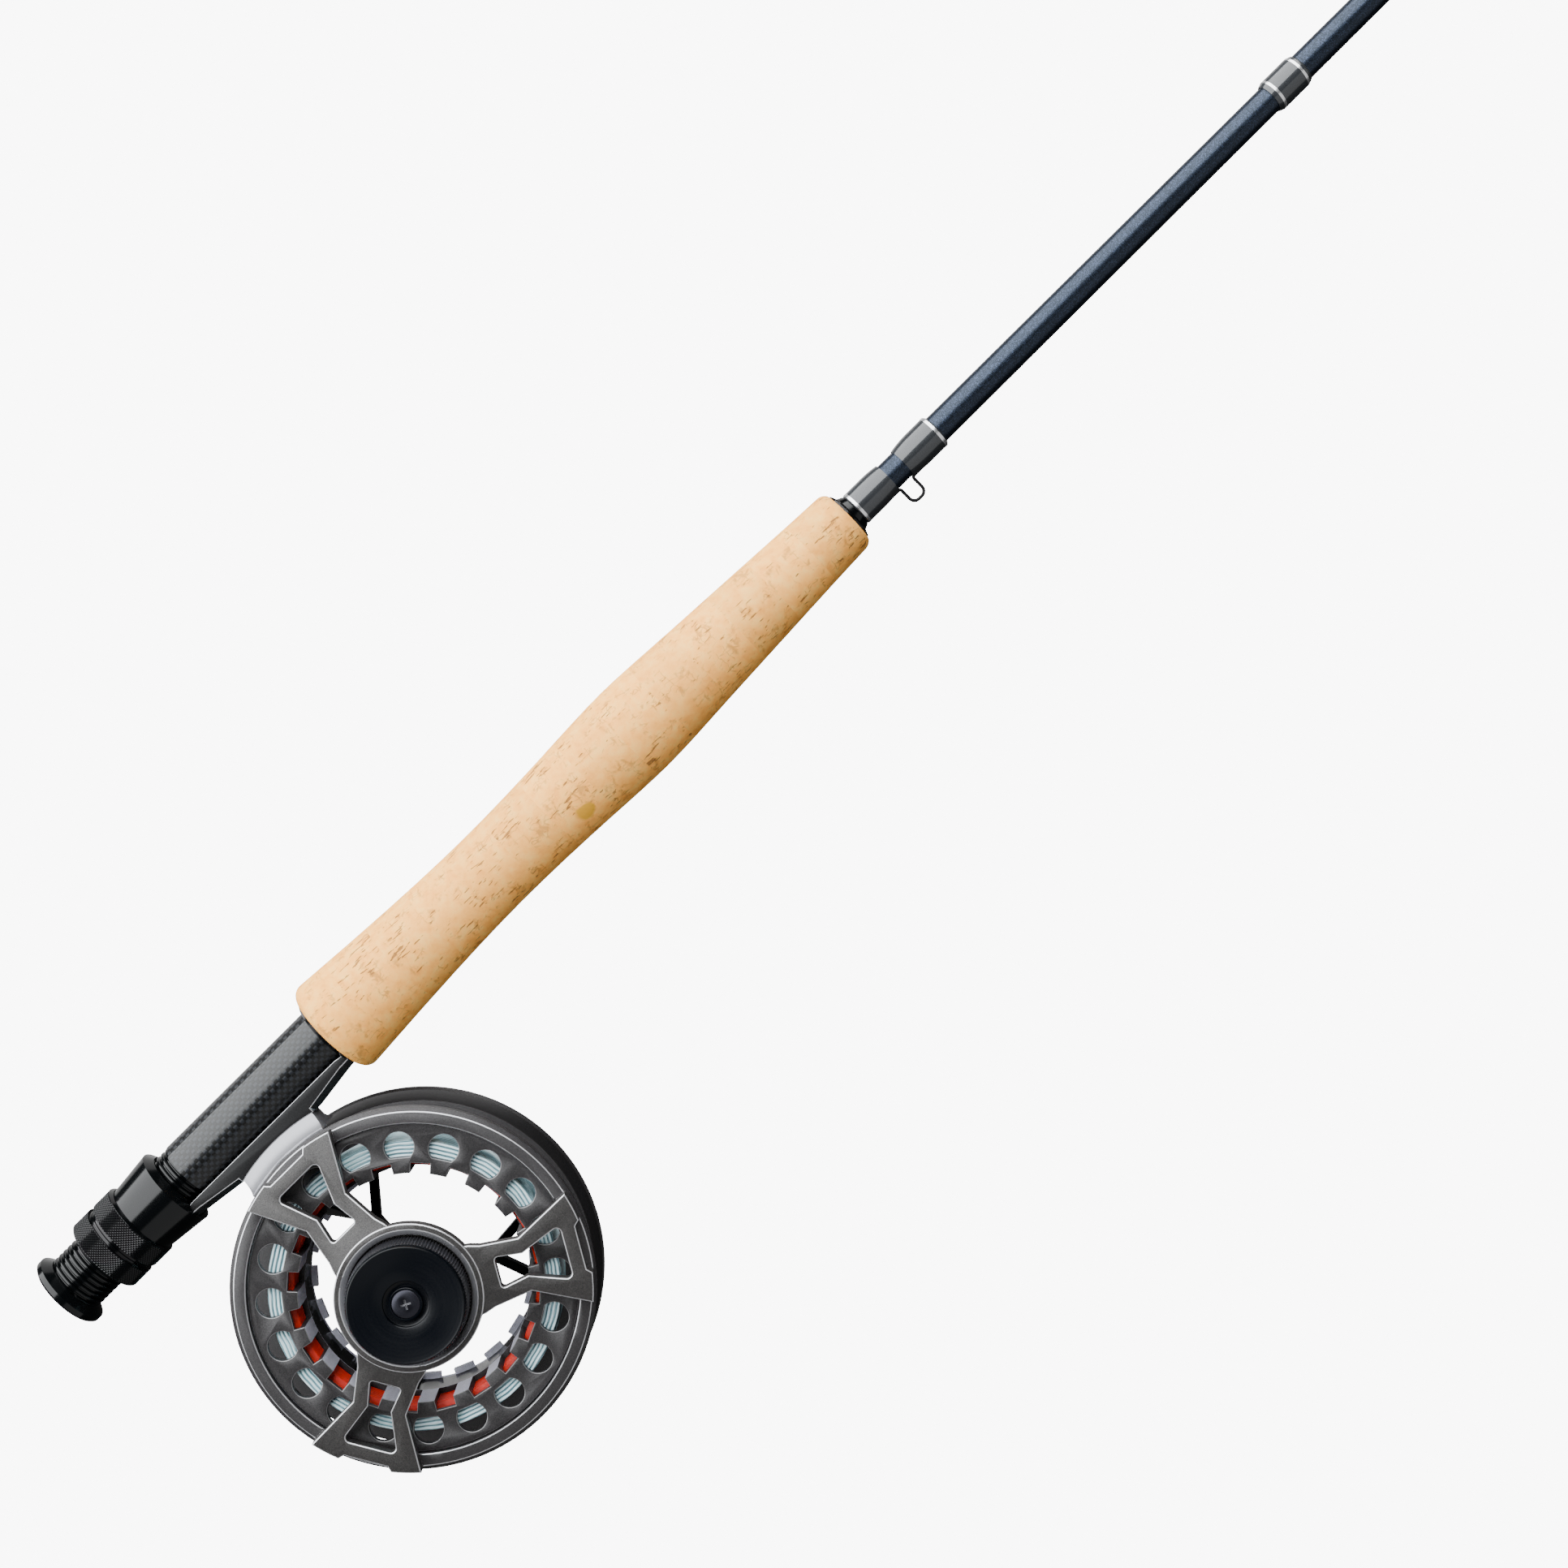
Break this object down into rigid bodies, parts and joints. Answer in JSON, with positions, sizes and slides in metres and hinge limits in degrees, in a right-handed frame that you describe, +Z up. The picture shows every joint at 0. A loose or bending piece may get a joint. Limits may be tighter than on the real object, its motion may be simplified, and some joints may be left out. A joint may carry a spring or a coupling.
{
  "type": "fly fishing rod and reel",
  "caption": "Four-piece fly rod with cork grip, threaded reel seat, wire guides and a half-frame fly reel wound with backing and line.",
  "frame": {"origin": "middle of the butt cap's end face, on the rod's axis", "axes": "+X along the rod from the butt to the tip, +Z up with the reel hanging below, -Y the side of the drag knob"},
  "size_m": [2.7448, 0.0631, 0.1151],
  "materials": {
    "black_anodised": "satin",
    "gunmetal": "matte",
    "bright_aluminium": "satin",
    "stainless": "satin",
    "carbon_weave": "gloss",
    "carbon_blank": "gloss",
    "cork": "matte",
    "thread_wrap": "gloss",
    "ceramic_ring": "gloss",
    "black_plastic": "satin",
    "red_backing": "matte",
    "fly_line": "satin",
    "brake_disc": "matte"
  },
  "bodies": {
    "butt": {"butt_cap": "black_anodised", "seat_barrel": "black_anodised", "seat_arbor": "cork", "seat_insert": "carbon_weave", "fixed_hood": "black_anodised", "cork_grip": "cork", "winding_check": "black_anodised", "hook_keeper": "stainless", "check_wrap": "thread_wrap", "keeper_wrap": "thread_wrap", "trim_wrap": "thread_wrap", "blank_butt": "carbon_blank", "butt_guide_wraps": "thread_wrap", "stripping_guide_1": "stainless", "stripping_ring_1": "ceramic_ring", "spigot_1": "carbon_blank", "reel_frame": "gunmetal", "reel_pedestal": "bright_aluminium", "reel_foot": "gunmetal", "foot_screws": "stainless", "knob_screw": "black_anodised", "axle": "stainless", "drag_case": "black_anodised", "drag_discs": "brake_disc", "drag_springs": "stainless"},
    "hood": {"sliding_hood": "black_anodised"},
    "ring_rear": {"lock_ring_rear": "black_anodised"},
    "ring_front": {"lock_ring_front": "black_anodised"},
    "knob": {"drag_knob": "black_plastic"},
    "spool": {"spool": "gunmetal", "spool_bearings": "stainless", "clutch_bearing": "stainless", "spool_cap": "black_anodised", "handle_pin": "stainless", "counterweight": "bright_aluminium", "backing": "red_backing", "fly_line": "fly_line"},
    "handle": {"handle_knob": "black_plastic"},
    "section_2": {"blank_section_2": "carbon_blank", "section_2_wraps": "thread_wrap", "stripping_guide_2": "stainless", "stripping_ring_2": "ceramic_ring", "snake_guides_2": "stainless", "spigot_2": "carbon_blank"},
    "section_3": {"blank_section_3": "carbon_blank", "section_3_wraps": "thread_wrap", "snake_guides_3": "stainless", "spigot_3": "carbon_blank"},
    "tip": {"blank_tip": "carbon_blank", "tip_wraps": "thread_wrap", "snake_guides_tip_a": "stainless", "snake_guides_tip_b": "stainless", "tip_top": "stainless"}
  },
  "joints": [
    {"name": "hood_slide", "type": "slide", "parent": "butt", "child": "hood", "axis": [-1, 0, 0], "range_m": [0, 0.0082]},
    {"name": "rear_ring_turn", "type": "hinge", "parent": "hood", "child": "ring_rear", "pos_m": [0.0155, 0, 0], "axis": [-1, 0, 0], "range_deg": [0, 2037.9]},
    {"name": "front_ring_turn", "type": "hinge", "parent": "hood", "child": "ring_front", "pos_m": [0.0226, 0, 0], "axis": [-1, 0, 0], "range_deg": [0, 2037.9]},
    {"name": "drag_knob_turn", "type": "hinge", "parent": "butt", "child": "knob", "pos_m": [0.0629, -0.024, -0.0576], "axis": [0, -1, 0], "range_deg": [0, 330]},
    {"name": "spool_spin", "type": "hinge", "parent": "butt", "child": "spool", "pos_m": [0.0629, 0, -0.0576], "axis": [0, -1, 0], "continuous": true},
    {"name": "handle_spin", "type": "hinge", "parent": "spool", "child": "handle", "pos_m": [0.06905, 0.0228, -0.09246], "axis": [0, 1, 0], "continuous": true},
    {"name": "ferrule_1_slide", "type": "slide", "parent": "butt", "child": "section_2", "axis": [1, 0, 0], "range_m": [0, 0.062]},
    {"name": "ferrule_2_slide", "type": "slide", "parent": "section_2", "child": "section_3", "axis": [1, 0, 0], "range_m": [0, 0.062]},
    {"name": "ferrule_3_slide", "type": "slide", "parent": "section_3", "child": "tip", "axis": [1, 0, 0], "range_m": [0, 0.062]}
  ],
  "couplings": [
    {"joint": "rear_ring_turn", "follows": "hood_slide", "rad_per_m": 4333.2},
    {"joint": "front_ring_turn", "follows": "hood_slide", "rad_per_m": 4333.2}
  ]
}
